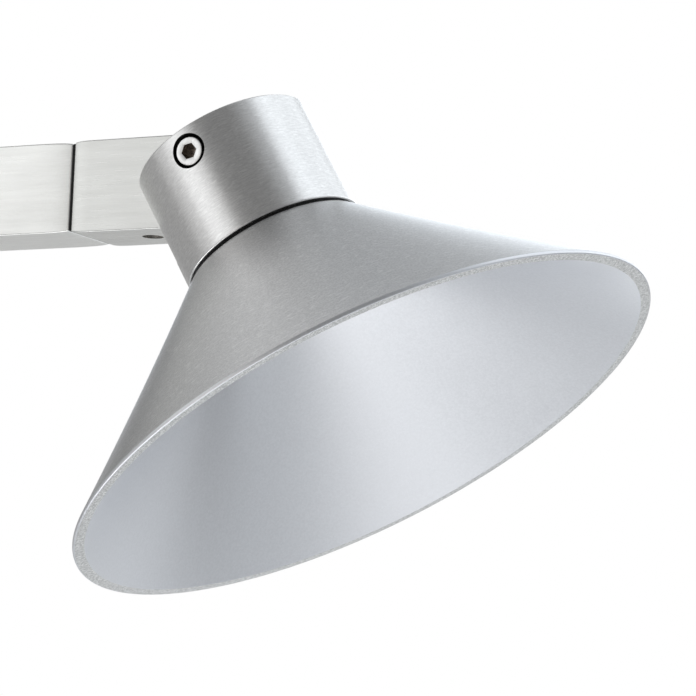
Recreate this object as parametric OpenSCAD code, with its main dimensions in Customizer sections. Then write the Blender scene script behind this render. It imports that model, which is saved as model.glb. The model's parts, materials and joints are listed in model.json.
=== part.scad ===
// Track spotlight: an in-track adapter, a swivelling bar arm, a turning end block and a tilting conical head.
// Origin: middle of the adapter, on the plane where its flange meets the underside of the track. +Z is up,
// +X runs along the arm to the head. Millimetres.

/* [Adapter] */
// Length of the adapter
adapter_len = 130; // [126:1:160]
// Width of the adapter below the track
adapter_w = 34; // [32:1:40]
// Height of the adapter below the track
adapter_h = 14; // [14:1:18]
// Width of the neck that goes into the track
neck_w = 17.4; // [16:0.1:18]
// Height of the neck inside the track
neck_h = 24; // [23:1:28]
// Distance of each track lock from the middle
lock_x = 44; // [42:1:46]

/* [Stem and arm] */
// Length of the stem between adapter and arm
stem_len = 40; // [30:1:80]
// Diameter of the stem
stem_d = 14; // [14:0.5:16]
// Distance from the stem to the joint at the arm's end
arm_reach = 150; // [110:1:300]
// Width of the arm, front to back
arm_w = 18; // [18:0.5:22]
// Height of the arm
arm_h = 20; // [20:0.5:24]
// Wall of the arm's tube
arm_wall = 1.8; // [1.5:0.1:2]

/* [End block] */
// Width of the end block
block_w = 18.2; // [18:0.1:19]
// Height of the end block
block_h = 20.3; // [20:0.1:21]
// Distance from the arm's end to the tilt axis
block_reach = 35.5; // [34:0.5:45]
// Height of the tilt axis above the middle of the block
tilt_rise = 4; // [3.5:0.1:4.5]

/* [Head] */
// Tilt of the head from straight down, as it is stored
head_tilt = 30.8; // [0:0.1:80]
// Diameter of the head's housing
housing_d = 40; // [40:0.5:44]
// Distance from the tilt axis to the housing's back edge
housing_back = 5.2; // [5:0.1:6]
// Distance from the tilt axis to the housing's front edge
housing_front = 21.4; // [21.4:0.1:24]
// Gap between housing and shade
shade_gap = 0.8; // [0.6:0.1:1.2]
// Diameter of the shade's rim
rim_d = 132.4; // [110:0.1:150]
// Height of the shade
shade_h = 45; // [40:0.5:60]
// Wall of the shade
shade_wall = 2.2; // [2:0.1:2.6]
// How far the shade's side curves in at mid height
shade_flare = 0.6; // [0:0.1:2]

/* [Hidden] */
$fn = 96;
eps = 0.02;            // joint between two solids that are pressed together
run = 0.05;            // radial clearance of a running fit
silver = [0.80, 0.80, 0.79];
satin = [0.72, 0.73, 0.74];
black = [0.08, 0.08, 0.09];
steel = [0.62, 0.62, 0.60];
copper = [0.80, 0.50, 0.30];

// Adapter: cover below the track, neck inside it
cover_wall = 1.8;
cover_floor = 2;
cover_r = 5;
plate_t = 2;
neck_wall = 1.6;
neck_len = adapter_len - 12;
lid_t = 2;
floor_top = -adapter_h + cover_floor;
boss_x = adapter_len / 2 - 7;
boss_y = adapter_w / 2 - 6;
boss_r = 3;
screw_r = 1.4;
screw_head_r = 2.6;
screw_head_t = 1.2;
contact_z = [8.5, 13, 17.5];
contact_w = 5;
contact_t = 1.2;
contact_proud = 1.8;   // how far a contact's nose stands out of the neck
carrier_w = 11;
carrier_x = [-16, 4];
earth_z = 3;
lock_knob_r = 6;
lock_flange_r = 7.6;
lock_shaft_r = 3;
cam_len = 24;
cam_w = 9;
cam_t = 2.8;
cam_z = 2.5;
selector_x = -24;
dial_r = 4.5;
dial_flange_r = 5.6;
dial_shaft_r = 2.2;

// Stem and its swivel in the adapter
spigot_r = 6;
bush_r = 8;
bush_flange_r = 9;
bush_flange_t = 1.5;
lead_bore_r = 3.5;
washer_t = 0.8;
stop_r = 11;           // radius at which the swivel's stop pin stands
stop_pin_r = 0.9;
stem_nut_h = 4;
stem_nut_af = 17;
foot_r = 5;
arm_nut_af = 12;
arm_nut_h = 4;

// Arm
stem_bottom = -adapter_h - stem_len;
arm_top = stem_bottom;
axis_z = arm_top - arm_h / 2;
arm_back = -14;
cap_t = 2;
cap_plug = 6;
arm_edge = 0.4;
insert_len = 16;
spindle_r = 4;
spindle_bore_r = 2.2;
seam_t = 0.5;
seam_inset = 0.35;
turn_pin_r = 0.6;
turn_pin_at = 6.2;
turn_pin_angle = 104;  // from the top, so that the tab stops at a quarter turn
turn_tab_r = 7;

// End block
block_x = arm_reach + seam_t + run;
pivot_x = arm_reach + block_reach;
pivot_z = axis_z + tilt_rise;
nose_r = block_h / 2 + tilt_rise;
spindle_end = arm_reach + 20.5;
channel_r = 2.2;
channel_drop = 8.2;    // lead channel below the tilt axis
grub_x = pivot_x - 19.4;
grub_r = 2.3;
tilt_bush_r = 4.2;
dog_r = 3;
disc_r = 5.6;
disc_t = 1;
disc_recess = 0.8;

// Head, in its own frame: the tilt axis is at the origin and the light leaves along -Z
housing_r = housing_d / 2;
slot_room = 0.4;       // clearance between the end block and the slot it turns in
slot_w = block_w + 0.6;
slot_r = nose_r + slot_room;
slot_floor = -nose_r - 0.5;
pivot_screw_r = 3.1;
counterbore_r = 3.8;
screw_face = housing_r - 0.35;
pocket_r = 11.8;
pocket_depth = 3.2;
pad_t = 0.3;
board_t = 1.5;
board_r = 9.5;
emitter_r = 4.5;
emitter_t = 0.4;
holder_bore_r = 5.5;
shade_top = -housing_front - shade_gap;
shade_bottom = shade_top - shade_h;
rim_r = rim_d / 2;
rim_land = 0.8;
shade_floor_t = 2;
lens_r = 12;
lens_t = 2.2;
dome_h = 3;
dome_base_r = 10.4;
ring_bore_r = 10.9;
ring_r = 17.2;
ring_t = 1.2;
shade_screw_at = 14.6;
shade_screw_r = 1.25;
shade_screw_head_r = 2.3;
shade_steps = 14;

// A rectangle with round corners, centred
module rounded_rect(w, h, r) {
    square([w - 2 * r, h], center = true);
    square([w, h - 2 * r], center = true);
    for (x = [-1, 1], y = [-1, 1]) translate([x * (w / 2 - r), y * (h / 2 - r)]) circle(r);
}

// A bar along X from x0 to x1 with a rounded section of w front to back and h high, centred on the arm's axis
module bar(x0, x1, w, h, r) {
    translate([x0, 0, axis_z]) rotate([90, 0, 90]) linear_extrude(x1 - x0) rounded_rect(w, h, r);
}

// A rod along X on the arm's axis
module rod(x0, x1, r, dz = 0) {
    translate([x0, 0, axis_z + dz]) rotate([0, 90, 0]) cylinder(h = x1 - x0, r = r);
}

// A hexagonal prism by its width across flats
module hex(af, h) {
    cylinder(h = h, r = af / 2 / cos(30), $fn = 6);
}

module tube(r_out, r_in, h) {
    difference() {
        cylinder(h = h, r = r_out);
        translate([0, 0, -1]) cylinder(h = h + 2, r = r_in);
    }
}

module at_head() {
    translate([pivot_x, 0, pivot_z]) rotate([0, -head_tilt, 0]) children();
}

module at_bosses() {
    for (x = [-1, 1], y = [-1, 1]) translate([x * boss_x, y * boss_y, 0]) children();
}

// ---- adapter

module base_cover() {
    color(silver) difference() {
        union() {
            difference() {
                translate([0, 0, -adapter_h]) linear_extrude(adapter_h) rounded_rect(adapter_len, adapter_w, cover_r);
                translate([0, 0, floor_top]) linear_extrude(adapter_h)
                    rounded_rect(adapter_len - 2 * cover_wall, adapter_w - 2 * cover_wall, cover_r - cover_wall);
            }
            at_bosses() translate([0, 0, floor_top - eps]) cylinder(h = -floor_top - plate_t, r = boss_r);
        }
        at_bosses() {
            translate([0, 0, -adapter_h - 1]) cylinder(h = adapter_h, r = screw_r + eps);
            translate([0, 0, -adapter_h - 1]) cylinder(h = 1 + screw_head_t, r = screw_head_r + 0.1);
        }
        translate([0, 0, -adapter_h - 1]) cylinder(h = 4, r = bush_r + eps);
        for (side = [-1, 1]) translate([side * lock_x, 0, -adapter_h - 1]) cylinder(h = 4, r = lock_knob_r + run);
        translate([selector_x, 0, -adapter_h - 1]) cylinder(h = 4, r = dial_r + run);
    }
}

module insert_body() {
    inner_w = neck_w - 2 * neck_wall;
    color(black) difference() {
        union() {
            translate([0, 0, -plate_t]) linear_extrude(plate_t)
                rounded_rect(adapter_len - 2 * cover_wall - 0.4, adapter_w - 2 * cover_wall - 0.4, cover_r - cover_wall);
            translate([0, 0, -eps]) linear_extrude(neck_h - lid_t + eps) rounded_rect(neck_len, neck_w, 1.5);
        }
        translate([0, 0, 0]) linear_extrude(neck_h) square([neck_len - 2 * neck_wall, inner_w], center = true);
        at_bosses() translate([0, 0, -plate_t - 1]) cylinder(h = plate_t + 2, r = screw_r + eps);
        for (side = [-1, 1]) translate([side * lock_x, 0, -plate_t - 1]) cylinder(h = 4, r = lock_shaft_r + run);
        translate([selector_x, 0, -plate_t - 1]) cylinder(h = 4, r = dial_shaft_r + run);
        translate([0, 0, -plate_t - 1]) cylinder(h = 4, r = lead_bore_r);
        for (side = [-1, 1]) translate([side * lock_x - 10.5, -neck_w, cam_z - 0.3]) cube([21, 2 * neck_w, cam_t + 0.6]);
        for (z = contact_z) translate([carrier_x[0] + 2, -neck_w, z - contact_t / 2 - 0.3])
            cube([contact_w + 0.6, neck_w, contact_t + 0.6]);
        translate([carrier_x[0] + 2, 0, contact_z[1] - contact_t / 2 - 0.3]) cube([contact_w + 0.6, neck_w, contact_t + 0.6]);
        translate([carrier_x[1] - 6.6, -neck_w, earth_z - contact_t / 2 - 0.3])
            cube([contact_w + 0.6, 2 * neck_w, contact_t + 0.6]);
    }
}

module insert_lid() {
    color(black) {
        translate([0, 0, neck_h - lid_t]) linear_extrude(lid_t) rounded_rect(neck_len, neck_w, 1.5);
        translate([0, 0, neck_h - lid_t - 1.5]) linear_extrude(1.5 + eps)
            square([neck_len - 2 * neck_wall - 0.2, neck_w - 2 * neck_wall - 0.2], center = true);
    }
}

// One sprung contact: a flat blade with a round nose, from the carrier's side out through the neck's wall
module contact(x, z, side, inner) {
    reach = neck_w / 2 + contact_proud - contact_t / 2 - inner;
    translate([x, side * inner, z]) rotate([90, 0, 90]) linear_extrude(contact_w) {
        translate([side > 0 ? 0 : -reach, -contact_t / 2]) square([reach, contact_t]);
        translate([side * reach, 0]) circle(contact_t / 2);
    }
}

module live_contacts() {
    color(copper) for (z = contact_z) contact(carrier_x[0] + 2.3, z, -1, carrier_w / 2);
}

module neutral_contact() {
    color(copper) contact(carrier_x[0] + 2.3, contact_z[1], 1, carrier_w / 2);
}

module earth_contacts() {
    color(copper) for (side = [-1, 1]) contact(carrier_x[1] - 6.3, earth_z, side, carrier_w / 2 - 2.5);
}

module contact_carrier() {
    color("ivory") {
        translate([carrier_x[0], -carrier_w / 2, 6.8]) cube([carrier_x[1] - carrier_x[0], carrier_w, 13.2]);
        translate([carrier_x[1] - 7, -carrier_w / 2 + 2.5, 0]) cube([6.5, carrier_w - 5, 6.8 + eps]);
    }
}

module driver_board() {
    color("darkgreen") translate([7, -6.8, 7.4]) cube([48, 13.6, 1.2]);
}

module driver_components() {
    board_top = 8.6;
    color("dimgray") {
        translate([10, -5.5, board_top]) cube([13, 11, 9.5]);
        for (x = [28, 37]) translate([x, 0, board_top + 4.2]) rotate([0, 90, 0]) cylinder(h = 7.5, r = 4.2);
        for (y = [-5, 1.5]) translate([47, y, board_top]) cube([5, 3.5, 2.2]);
    }
}

module terminal_block() {
    color("gainsboro") difference() {
        translate([14, -12.6, floor_top]) cube([18, 8, 7]);
        for (i = [0:2]) translate([17 + 6 * i, -13, floor_top + 3]) rotate([-90, 0, 0]) cylinder(h = 6, r = 1.3);
    }
}

module base_screws() {
    color(steel) at_bosses() difference() {
        union() {
            translate([0, 0, -adapter_h + 0.1]) cylinder(h = screw_head_t - 0.1, r = screw_head_r);
            translate([0, 0, -adapter_h + screw_head_t]) cylinder(h = adapter_h - screw_head_t - 0.2, r = screw_r);
        }
        for (a = [0, 90]) translate([0, 0, -adapter_h]) rotate([0, 0, a]) cube([3.4, 0.6, 1.4], center = true);
    }
}

module swivel_bush() {
    color("whitesmoke") difference() {
        union() {
            translate([0, 0, -adapter_h]) cylinder(h = cover_floor + eps, r = bush_r);
            translate([0, 0, floor_top]) cylinder(h = bush_flange_t, r = bush_flange_r);
        }
        translate([0, 0, -adapter_h - 1]) cylinder(h = 8, r = spigot_r + run);
    }
}

module swivel_stop_pin() {
    color(steel) translate([-stop_r, 0, floor_top]) cylinder(h = 4, r = stop_pin_r);
}

// A track lock: a flush knob with a coin slot below, its shaft up through the neck
module lock_knob() {
    color("gray") difference() {
        union() {
            translate([0, 0, -adapter_h - 0.5]) cylinder(h = cover_floor + 0.55, r = lock_knob_r);
            translate([0, 0, floor_top + run]) cylinder(h = 1.2, r = lock_flange_r);
            translate([0, 0, floor_top + 1]) cylinder(h = -floor_top - 1 + cam_z + cam_t + 1, r = lock_shaft_r);
        }
        translate([0, 0, -adapter_h - 0.5]) cube([9, 1.8, 2.6], center = true);
    }
}

module lock_cam() {
    color(steel) translate([0, 0, cam_z]) linear_extrude(cam_t) difference() {
        intersection() {
            circle(cam_len / 2);
            square([cam_w, cam_len], center = true);
        }
        circle(lock_shaft_r + eps);
    }
}

module left_lock_knob() { translate([-lock_x, 0, 0]) lock_knob(); }

module left_lock_cam() { translate([-lock_x, 0, 0]) lock_cam(); }

module right_lock_knob() { translate([lock_x, 0, 0]) lock_knob(); }

module right_lock_cam() { translate([lock_x, 0, 0]) lock_cam(); }

module selector_dial() {
    color("dimgray") translate([selector_x, 0, 0]) difference() {
        union() {
            translate([0, 0, -adapter_h - 0.5]) cylinder(h = cover_floor + 0.55, r = dial_r);
            translate([0, 0, floor_top + run]) cylinder(h = 1.2, r = dial_flange_r);
            translate([0, 0, floor_top + 1]) cylinder(h = -floor_top - 1 + 5, r = dial_shaft_r);
        }
        translate([0, 0, -adapter_h - 0.5]) cube([6, 1.2, 2], center = true);
    }
}

module selector_wiper() {
    color(copper) translate([selector_x, 0, 2]) linear_extrude(0.8) difference() {
        union() {
            circle(3.6);
            translate([0, -1.2]) square([6, 2.4]);
        }
        circle(dial_shaft_r + eps);
    }
}

// ---- stem and arm

module stem_tube() {
    color(silver) difference() {
        union() {
            translate([0, 0, stem_bottom]) cylinder(h = stem_len - 0.3, r = stem_d / 2);
            translate([0, 0, stem_bottom]) cylinder(h = stem_len + 9.5, r = spigot_r);
            translate([0, 0, stem_bottom - arm_wall - arm_nut_h - 0.7]) cylinder(h = 8, r = foot_r);
        }
        translate([0, 0, stem_bottom - 10]) cylinder(h = stem_len + 30, r = lead_bore_r);
    }
}

module stem_stop_washer() {
    z = floor_top + bush_flange_t + run;
    color(steel) translate([0, 0, z]) linear_extrude(washer_t) difference() {
        union() {
            circle(8.6);
            translate([0, -0.8]) square([stop_r + 0.9, 1.6]);
        }
        circle(spigot_r + eps);
    }
}

module stem_nut() {
    z = floor_top + bush_flange_t + run + washer_t;
    color(steel) translate([0, 0, z]) difference() {
        hex(stem_nut_af, stem_nut_h);
        translate([0, 0, -1]) cylinder(h = stem_nut_h + 2, r = spigot_r + eps);
    }
}

module stem_arm_nut() {
    color(steel) translate([0, 0, arm_top - arm_wall - arm_nut_h]) difference() {
        hex(arm_nut_af, arm_nut_h);
        translate([0, 0, -1]) cylinder(h = arm_nut_h + 2, r = foot_r + eps);
    }
}

module arm_tube() {
    color(silver) difference() {
        bar(arm_back, arm_reach, arm_w, arm_h, arm_edge);
        translate([arm_back - 1, -arm_w / 2 + arm_wall, axis_z - arm_h / 2 + arm_wall])
            cube([arm_reach - arm_back + 2, arm_w - 2 * arm_wall, arm_h - 2 * arm_wall]);
        translate([0, 0, arm_top - arm_wall - 1]) cylinder(h = arm_wall + 2, r = foot_r + eps);
    }
}

module arm_end_cap() {
    color(silver) {
        bar(arm_back - cap_t, arm_back, arm_w, arm_h, arm_edge);
        bar(arm_back - eps, arm_back + cap_plug, arm_w - 2 * arm_wall - 2 * eps, arm_h - 2 * arm_wall - 2 * eps, arm_edge);
    }
}

module arm_front_insert() {
    color(satin) difference() {
        bar(arm_reach - insert_len, arm_reach, arm_w - 2 * arm_wall - 2 * eps, arm_h - 2 * arm_wall - 2 * eps, arm_edge);
        rod(arm_reach - insert_len - 1, arm_reach + 1, spindle_r + run);
    }
}

// The pins end just short of the nut, in the plane of the washer's tab
module insert_stop_pins() {
    h = washer_t - run;
    color(steel) for (side = [-1, 1]) translate([arm_reach - insert_len - h,
        side * turn_pin_at * sin(turn_pin_angle), axis_z + turn_pin_at * cos(turn_pin_angle)])
        rotate([0, 90, 0]) cylinder(h = h, r = turn_pin_r);
}

module arm_joint_washer() {
    color(black) difference() {
        bar(arm_reach, arm_reach + seam_t, arm_w - 2 * seam_inset, arm_h - 2 * seam_inset, arm_edge);
        rod(arm_reach - 1, arm_reach + 2, spindle_r + run);
    }
}

// Two insulated leads: down the stem, round a bend and along the arm to the spindle's bore
module arm_leads() {
    lead_r = 0.8;
    bend = 6;
    nut_end = arm_reach - insert_len - 8;
    for (side = [-1, 1]) color(side > 0 ? "firebrick" : "dimgray") translate([0, side * 1, 0]) {
        translate([0, 0, axis_z + bend]) cylinder(h = -4.6 - axis_z - bend, r = lead_r);
        translate([bend, 0, axis_z + bend]) rotate([90, 0, 0]) rotate([0, 0, 180]) rotate_extrude(angle = 90)
            translate([bend, 0]) circle(lead_r);
        translate([bend, 0, axis_z]) rotate([0, 90, 0]) cylinder(h = nut_end - bend - 0.5, r = lead_r);
    }
}

// ---- end block

// Side outline of the block: a bar whose end is round about the tilt axis
module block_outline() {
    translate([block_x, axis_z - block_h / 2]) square([pivot_x - block_x, block_h]);
    intersection() {
        translate([pivot_x, pivot_z]) circle(nose_r);
        translate([pivot_x - 1, axis_z - block_h / 2]) square([nose_r + 2, block_h]);
    }
}

module end_block() {
    color(silver) difference() {
        translate([0, block_w / 2, 0]) rotate([90, 0, 0]) linear_extrude(block_w) block_outline();
        rod(block_x - 1, spindle_end + 0.5, spindle_r + eps);
        rod(spindle_end - 1.6, pivot_x + nose_r + 1, channel_r, tilt_rise - channel_drop);
        translate([grub_x, 0, axis_z - block_h]) cylinder(h = block_h, r = grub_r + eps);
        translate([pivot_x, block_w, pivot_z]) rotate([90, 0, 0]) cylinder(h = 2 * block_w, r = tilt_bush_r + eps);
        for (side = [-1, 1]) translate([pivot_x, side * (block_w / 2 - disc_recess / 2 + 0.5), pivot_z])
            rotate([90, 0, 0]) cylinder(h = disc_recess + 1, r = disc_r + eps, center = true);
    }
}

module joint_spindle() {
    start = arm_reach - insert_len - 7.6;
    color(steel) difference() {
        rod(start, spindle_end, spindle_r);
        rod(start - 1, spindle_end + 1, spindle_bore_r);
    }
}

module spindle_stop_washer() {
    x = arm_reach - insert_len - run - washer_t;
    color(steel) translate([x, 0, axis_z]) rotate([90, 0, 90]) linear_extrude(washer_t) difference() {
        union() {
            circle(5.4);
            translate([-0.8, 0]) square([1.6, turn_tab_r]);
        }
        circle(spindle_r + eps);
    }
}

module spindle_nut() {
    h = 4;
    x = arm_reach - insert_len - run - washer_t - h;
    color(steel) translate([x, 0, axis_z]) rotate([0, 90, 0]) difference() {
        hex(arm_nut_af, h);
        translate([0, 0, -1]) cylinder(h = h + 2, r = spindle_r + eps);
    }
}

module block_grub_screw() {
    bottom = axis_z - block_h / 2 + 0.6;
    color(black) translate([grub_x, 0, bottom]) difference() {
        cylinder(h = axis_z - spindle_r - bottom, r = grub_r);
        translate([0, 0, -1]) hex(2.5, 3);
    }
}

module pivot_bush() {
    color("goldenrod") translate([pivot_x, block_w / 2 - disc_recess, pivot_z]) rotate([90, 0, 0])
        tube(tilt_bush_r, dog_r + run, block_w - 2 * disc_recess);
}

module friction_discs() {
    color("whitesmoke") for (side = [-1, 1]) translate([pivot_x, side * (block_w / 2 - disc_recess + disc_t / 2), pivot_z])
        rotate([90, 0, 0]) translate([0, 0, -disc_t / 2]) tube(disc_r, dog_r + run, disc_t);
}

// The leads in the end block, from the spindle's bore to the block's nose
module head_leads() {
    lead_r = 0.8;
    z = pivot_z - channel_drop;
    for (side = [-1, 1]) color(side > 0 ? "firebrick" : "dimgray")
        translate([spindle_end + 0.8, side * 1, z]) rotate([0, 90, 0])
            cylinder(h = pivot_x + nose_r - 4.5 - spindle_end, r = lead_r);
}

// ---- head

// The slot that the end block turns in: round about the tilt axis, open towards the arm and at the back
module slot_outline() {
    circle(slot_r);
    translate([-housing_d, slot_floor]) square([housing_d, housing_d]);
    translate([-1, 0]) square([1 + block_h / 2 - tilt_rise + slot_room, housing_d]);
}

module housing_blank() {
    edge = 0.4;
    rotate_extrude() polygon([[0, -housing_front], [housing_r - edge, -housing_front],
        [housing_r, -housing_front + edge], [housing_r, housing_back - edge], [housing_r - edge, housing_back],
        [0, housing_back]]);
}

module head_housing() {
    color(silver) at_head() difference() {
        housing_blank();
        translate([0, slot_w / 2, 0]) rotate([90, 0, 0]) linear_extrude(slot_w) slot_outline();
        rotate([90, 0, 0]) translate([0, 0, -housing_r - 1]) cylinder(h = housing_d + 2, r = pivot_screw_r + eps);
        for (side = [-1, 1]) translate([0, side * housing_r, 0]) rotate([90, 0, 0])
            cylinder(h = 8, r = counterbore_r, center = true);
        translate([0, 0, -housing_front - 1]) cylinder(h = pocket_depth + 1, r = pocket_r + eps);
        translate([0, 0, -housing_front]) cylinder(h = housing_front, r = 1.6);
        for (a = [90 : 120 : 330]) rotate([0, 0, a]) translate([shade_screw_at, 0, -housing_front - 1])
            cylinder(h = 5, r = shade_screw_r + eps);
    }
}

// Set screws with a dog point: hexagon socket outside, plain tip in the bush
module pivot_screws() {
    tip = 4;
    cheek = slot_w / 2 + 0.3;
    color(steel) at_head() for (side = [0, 180]) rotate([90, 0, side]) difference() {
        union() {
            translate([0, 0, cheek]) cylinder(h = screw_face - cheek, r = pivot_screw_r);
            translate([0, 0, tip]) cylinder(h = cheek - tip + eps, r = dog_r);
        }
        translate([0, 0, screw_face - 3]) hex(3.1, 4);
    }
}

module heat_pad() {
    color("lightgray") at_head() translate([0, 0, -housing_front + pocket_depth - pad_t])
        cylinder(h = pad_t, r = board_r);
}

module led_board() {
    color("white") at_head() translate([0, 0, -housing_front + pocket_depth - pad_t - board_t])
        cylinder(h = board_t, r = board_r);
}

module led_emitter() {
    color("gold") at_head() translate([0, 0, -housing_front + pocket_depth - pad_t - board_t - emitter_t])
        cylinder(h = emitter_t, r = emitter_r);
}

module led_holder() {
    top = -housing_front + pocket_depth;
    lip = pocket_depth - pad_t - board_t;
    color("white") at_head() difference() {
        translate([0, 0, -housing_front]) cylinder(h = pocket_depth, r = pocket_r);
        translate([0, 0, -housing_front + lip]) cylinder(h = pocket_depth, r = board_r + eps);
        translate([0, 0, -housing_front - 1]) cylinder(h = pocket_depth, r = holder_bore_r);
    }
}

module shade_gasket() {
    color(black) at_head() translate([0, 0, shade_top]) difference() {
        tube(housing_r - 1, pocket_r, shade_gap);
        for (a = [90 : 120 : 330]) rotate([0, 0, a]) translate([shade_screw_at, 0, -1])
            cylinder(h = 3, r = shade_screw_r + eps);
    }
}

// Radius of the shade's outer side at height z: a straight cone that curves in by shade_flare at mid height
function side_t(z) = (shade_top - z) / (shade_h - rim_land);
function outer_r(z) = housing_r + (rim_r - housing_r) * side_t(z) - 4 * shade_flare * side_t(z) * (1 - side_t(z));
slope = atan2(rim_r - housing_r, shade_h - rim_land);
function inner_r(z) = outer_r(z + shade_wall * sin(slope)) - shade_wall * cos(slope);

module shade() {
    side_end = shade_bottom + rim_land;
    floor_z = shade_top - shade_floor_t;
    outer = [for (i = [0 : shade_steps]) let (z = shade_top + (side_end - shade_top) * i / shade_steps) [outer_r(z), z]];
    inner = [for (i = [0 : shade_steps]) let (z = shade_bottom + (floor_z - shade_bottom) * i / shade_steps) [inner_r(z), z]];
    color(satin) at_head() difference() {
        rotate_extrude() polygon(concat([[lens_r, floor_z], [lens_r, shade_top]], outer, [[rim_r, shade_bottom]], inner));
        for (a = [90 : 120 : 330]) rotate([0, 0, a]) translate([shade_screw_at, 0, floor_z - 1])
            cylinder(h = shade_floor_t + 2, r = shade_screw_r + eps);
    }
}

// A plain flange in the shade's bore with a domed face below it
module lens() {
    top = shade_top - 0.1;
    dome_r = (dome_base_r * dome_base_r + dome_h * dome_h) / (2 * dome_h);
    color([0.85, 0.92, 0.95, 0.5]) at_head() {
        translate([0, 0, top - lens_t + 0.3]) cylinder(h = lens_t - 0.3, r = lens_r - 0.15);
        translate([0, 0, top - lens_t]) intersection() {
            translate([0, 0, -dome_h]) cylinder(h = dome_h + 1, r = dome_base_r);
            translate([0, 0, dome_r - dome_h]) sphere(dome_r);
        }
    }
}

module lens_ring() {
    color(black) at_head() translate([0, 0, shade_top - shade_floor_t - ring_t]) difference() {
        tube(ring_r, ring_bore_r, ring_t);
        for (a = [90 : 120 : 330]) rotate([0, 0, a]) translate([shade_screw_at, 0, -1])
            cylinder(h = 3, r = shade_screw_r + eps);
    }
}

module shade_screws() {
    head_top = shade_top - shade_floor_t - ring_t;
    color(steel) at_head() for (a = [90 : 120 : 330]) rotate([0, 0, a]) translate([shade_screw_at, 0, 0]) difference() {
        union() {
            translate([0, 0, head_top - 1.3]) cylinder(h = 1.3, r = shade_screw_head_r);
            translate([0, 0, head_top - eps]) cylinder(h = -housing_front + 3.8 - head_top, r = shade_screw_r);
        }
        translate([0, 0, head_top - 2]) hex(1.5, 1.6);
    }
}

base_cover();
insert_body();
insert_lid();
live_contacts();
neutral_contact();
earth_contacts();
contact_carrier();
driver_board();
driver_components();
terminal_block();
base_screws();
swivel_bush();
swivel_stop_pin();
left_lock_knob();
left_lock_cam();
right_lock_knob();
right_lock_cam();
selector_dial();
selector_wiper();
stem_tube();
stem_stop_washer();
stem_nut();
stem_arm_nut();
arm_tube();
arm_end_cap();
arm_front_insert();
insert_stop_pins();
arm_joint_washer();
arm_leads();
end_block();
joint_spindle();
spindle_stop_washer();
spindle_nut();
block_grub_screw();
pivot_bush();
friction_discs();
head_leads();
head_housing();
pivot_screws();
heat_pad();
led_board();
led_emitter();
led_holder();
shade_gasket();
shade();
lens();
lens_ring();
shade_screws();
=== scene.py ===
# %% [markdown]
# # A track spotlight with a conical metal shade
# The fixture hangs from a track: an adapter, a short stem, a square bar arm, a turning end block and a head
# that tilts. The CAD model gives every place and size. This script gives the looks: it replaces the plain
# CAD solids that show with finely made surfaces whose edges are really rounded, and mixes a procedural
# metal or plastic for each.

# %% The frame
import json
import math

import bmesh
import bpy
import numpy as np
from mathutils import Matrix, Vector


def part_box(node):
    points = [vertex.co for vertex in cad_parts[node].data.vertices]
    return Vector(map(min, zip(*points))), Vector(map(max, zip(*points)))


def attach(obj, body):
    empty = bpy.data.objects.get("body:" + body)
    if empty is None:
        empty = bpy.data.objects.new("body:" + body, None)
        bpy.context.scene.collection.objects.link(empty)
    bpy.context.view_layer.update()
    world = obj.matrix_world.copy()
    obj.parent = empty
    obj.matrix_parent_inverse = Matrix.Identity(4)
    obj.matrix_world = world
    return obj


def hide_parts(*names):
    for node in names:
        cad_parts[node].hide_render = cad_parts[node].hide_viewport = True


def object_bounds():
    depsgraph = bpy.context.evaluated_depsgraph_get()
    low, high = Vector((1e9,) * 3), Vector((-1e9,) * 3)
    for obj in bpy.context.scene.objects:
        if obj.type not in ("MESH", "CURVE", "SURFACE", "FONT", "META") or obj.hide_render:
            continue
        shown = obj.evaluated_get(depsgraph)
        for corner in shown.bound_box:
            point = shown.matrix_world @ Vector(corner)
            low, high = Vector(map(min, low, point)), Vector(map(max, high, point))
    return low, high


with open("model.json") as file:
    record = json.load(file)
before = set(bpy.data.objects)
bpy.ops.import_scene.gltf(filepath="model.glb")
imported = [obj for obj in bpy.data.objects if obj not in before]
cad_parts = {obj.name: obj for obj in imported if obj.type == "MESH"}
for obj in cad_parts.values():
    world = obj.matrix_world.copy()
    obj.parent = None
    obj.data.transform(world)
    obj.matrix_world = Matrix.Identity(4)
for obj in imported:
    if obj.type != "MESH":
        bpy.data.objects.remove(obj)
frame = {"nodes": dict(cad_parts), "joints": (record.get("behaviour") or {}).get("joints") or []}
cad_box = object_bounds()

mm = 0.001
nodes = frame["nodes"]
joints = {joint["name"]: joint for joint in frame["joints"]}
print("CAD nodes:", len(nodes), " joints:", len(joints))

# %% [markdown]
# ## Places taken from the frame
# The head's tilt axis and its angle at rest come from the joint, and the arm's middle line from the arm's
# box, so the looks follow the CAD model if a length changes there.

# %% Reference places
tilt_joint = joints["head_tilt"]
pivot = np.array(tilt_joint["pos_m"])
head_tilt = math.radians(-tilt_joint["range_deg"][0])


def box(node):
    """Lowest and highest corner of a CAD node as two arrays."""
    low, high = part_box(node)
    return np.array(low), np.array(high)


arm_low, arm_high = box("arm_tube")
arm_axis_z = (arm_low[2] + arm_high[2]) / 2
# Rows are the head's own axes: across in the plane of the arm, along the tilt axis, and backwards.
head_axes = np.array([
    [math.cos(head_tilt), 0, math.sin(head_tilt)],
    [0, 1, 0],
    [-math.sin(head_tilt), 0, math.cos(head_tilt)]])
print("pivot", pivot, "tilt", round(math.degrees(head_tilt), 1))


def on_head(points):
    """Points of the head's own frame in the shared frame: sums of the head's axes from the pivot."""
    return pivot + np.asarray(points) @ head_axes


# %% [markdown]
# ## Surfaces from arrays
# A turned part is a profile carried round a circle, and a bar is an outline carried along a line. Both are
# grids of points, so one helper can join any grid into quads. Real metal parts have no perfectly sharp
# edge, and the thin bright line on an edge is what makes metal look solid, so every profile and outline has
# its corners rounded first.

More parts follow.
